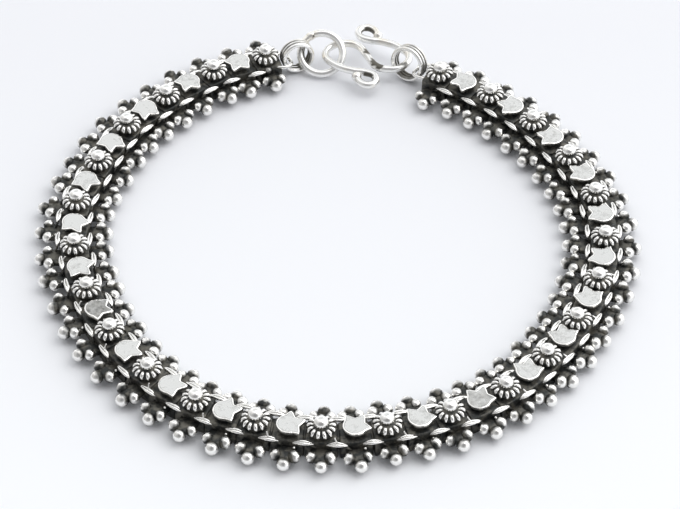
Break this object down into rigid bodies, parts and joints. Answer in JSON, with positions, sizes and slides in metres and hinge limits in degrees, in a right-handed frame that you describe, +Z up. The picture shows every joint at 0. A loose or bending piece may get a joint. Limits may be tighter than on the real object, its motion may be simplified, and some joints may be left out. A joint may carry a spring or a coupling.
{
  "type": "bracelet",
  "caption": "Oxidised silver link bracelet of flower and tulip-plaque links in a closed loop, with beaded edges, side rings and an S-hook clasp.",
  "frame": {"origin": "middle of the underside that lies on the table", "axes": "+Z up, out of the flowers; +Y towards the clasp; the links run counter-clockwise seen from above"},
  "size_m": [0.0716, 0.0732, 0.0048],
  "materials": {
    "oxidised_silver": "polished raised edges over blackened recesses",
    "polished_silver": "bright polish"
  },
  "bodies": {
    "root": {"flower_link_01": "oxidised_silver", "flower_link_02": "oxidised_silver", "flower_link_03": "oxidised_silver", "flower_link_04": "oxidised_silver", "flower_link_05": "oxidised_silver", "flower_link_06": "oxidised_silver", "flower_link_07": "oxidised_silver", "flower_link_08": "oxidised_silver", "flower_link_09": "oxidised_silver", "flower_link_10": "oxidised_silver", "flower_link_11": "oxidised_silver", "flower_link_12": "oxidised_silver", "flower_link_13": "oxidised_silver", "flower_link_14": "oxidised_silver", "flower_link_15": "oxidised_silver", "flower_link_16": "oxidised_silver", "flower_link_17": "oxidised_silver", "flower_link_18": "oxidised_silver", "flower_link_19": "oxidised_silver", "flower_link_20": "oxidised_silver", "flower_link_21": "oxidised_silver", "flower_link_22": "oxidised_silver", "flower_link_23": "oxidised_silver", "flower_link_24": "oxidised_silver", "flower_link_25": "oxidised_silver", "plaque_link_01": "oxidised_silver", "plaque_link_02": "oxidised_silver", "plaque_link_03": "oxidised_silver", "plaque_link_04": "oxidised_silver", "plaque_link_05": "oxidised_silver", "plaque_link_06": "oxidised_silver", "plaque_link_07": "oxidised_silver", "plaque_link_08": "oxidised_silver", "plaque_link_09": "oxidised_silver", "plaque_link_10": "oxidised_silver", "plaque_link_11": "oxidised_silver", "plaque_link_12": "oxidised_silver", "plaque_link_13": "oxidised_silver", "plaque_link_14": "oxidised_silver", "plaque_link_15": "oxidised_silver", "plaque_link_16": "oxidised_silver", "plaque_link_17": "oxidised_silver", "plaque_link_18": "oxidised_silver", "plaque_link_19": "oxidised_silver", "plaque_link_20": "oxidised_silver", "plaque_link_21": "oxidised_silver", "plaque_link_22": "oxidised_silver", "plaque_link_23": "oxidised_silver", "plaque_link_24": "oxidised_silver", "left_triple_ring": "polished_silver", "jump_ring": "polished_silver", "s_hook": "polished_silver", "right_triple_ring": "polished_silver"}
  },
  "joints": []
}
